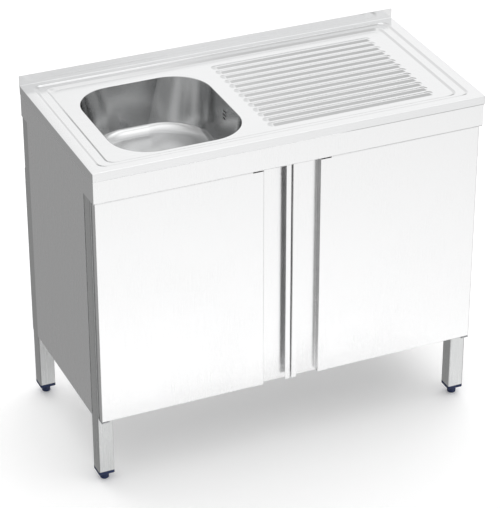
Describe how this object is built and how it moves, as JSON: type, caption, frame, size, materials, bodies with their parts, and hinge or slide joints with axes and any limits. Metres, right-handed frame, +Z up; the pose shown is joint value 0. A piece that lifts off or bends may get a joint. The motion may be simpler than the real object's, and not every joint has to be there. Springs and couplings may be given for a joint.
{
  "type": "stainless steel sink cabinet",
  "caption": "Floor-standing stainless steel sink cabinet: pressed worktop with bowl, ribbed drainer and rear upstand, hinged doors with finger-pull channels, square legs, adjustable feet",
  "frame": {"origin": "on the floor, under the middle of the worktop", "axes": "+X to the right along the worktop, +Y to the rear, +Z up"},
  "size_m": [1, 0.5, 0.8885],
  "materials": {
    "steel_top": "satin pressed sheet",
    "steel_bowl": "satin deep drawn sheet",
    "steel_body": "brushed folded sheet and tube",
    "steel_door": "fine brushed folded sheet",
    "steel_part": "turned and stamped steel",
    "blue_plastic": "moulded navy blue",
    "white_plastic": "moulded white",
    "rubber": "black seal"
  },
  "bodies": {
    "cabinet": {"worktop": "steel_top", "sink_bowl": "steel_bowl", "front_stiffener": "steel_body", "rear_stiffener": "steel_body", "waste_flange": "steel_part", "waste_strainer": "steel_part", "waste_gasket": "rubber", "waste_nut": "white_plastic", "waste_outlet": "white_plastic", "overflow_gasket": "rubber", "overflow_head": "white_plastic", "overflow_pipe": "white_plastic", "front_fascia": "steel_body", "rear_rail": "steel_body", "back_panel": "steel_body", "bottom_shelf": "steel_body", "left_side_panel": "steel_body", "right_side_panel": "steel_body", "catch_plate": "steel_body", "left_catch_magnet": "white_plastic", "right_catch_magnet": "white_plastic", "catch_screw_1": "steel_part", "catch_screw_2": "steel_part", "catch_screw_3": "steel_part", "catch_screw_4": "steel_part", "left_front_leg": "steel_body", "right_front_leg": "steel_body", "left_rear_leg": "steel_body", "right_rear_leg": "steel_body", "left_front_leg_plug": "blue_plastic", "right_front_leg_plug": "blue_plastic", "left_rear_leg_plug": "blue_plastic", "right_rear_leg_plug": "blue_plastic", "left_hinge_tab": "steel_part", "right_hinge_tab": "steel_part", "left_bottom_pin": "steel_part", "left_top_pin": "steel_part", "right_bottom_pin": "steel_part", "right_top_pin": "steel_part"},
    "left_door": {"left_door_skin": "steel_door", "left_door_liner": "steel_body", "left_bottom_bush": "white_plastic", "left_top_bush": "white_plastic", "left_strike_plate": "steel_part"},
    "right_door": {"right_door_skin": "steel_door", "right_door_liner": "steel_body", "right_bottom_bush": "white_plastic", "right_top_bush": "white_plastic", "right_strike_plate": "steel_part"},
    "foot_left_front": {"left_front_foot": "blue_plastic"},
    "foot_right_front": {"right_front_foot": "blue_plastic"},
    "foot_left_rear": {"left_rear_foot": "blue_plastic"},
    "foot_right_rear": {"right_rear_foot": "blue_plastic"}
  },
  "joints": [
    {"name": "left_door_hinge", "type": "hinge", "parent": "cabinet", "child": "left_door", "pos_m": [-0.484, -0.2295, 0.188], "axis": [0, 0, -1], "range_deg": [0, 105]},
    {"name": "right_door_hinge", "type": "hinge", "parent": "cabinet", "child": "right_door", "pos_m": [0.484, -0.2295, 0.188], "axis": [0, 0, 1], "range_deg": [0, 105]},
    {"name": "foot_left_front_screw", "type": "slide", "parent": "cabinet", "child": "foot_left_front", "axis": [0, 0, -1], "range_m": [0, 0.02]},
    {"name": "foot_right_front_screw", "type": "slide", "parent": "cabinet", "child": "foot_right_front", "axis": [0, 0, -1], "range_m": [0, 0.02]},
    {"name": "foot_left_rear_screw", "type": "slide", "parent": "cabinet", "child": "foot_left_rear", "axis": [0, 0, -1], "range_m": [0, 0.02]},
    {"name": "foot_right_rear_screw", "type": "slide", "parent": "cabinet", "child": "foot_right_rear", "axis": [0, 0, -1], "range_m": [0, 0.02]}
  ]
}
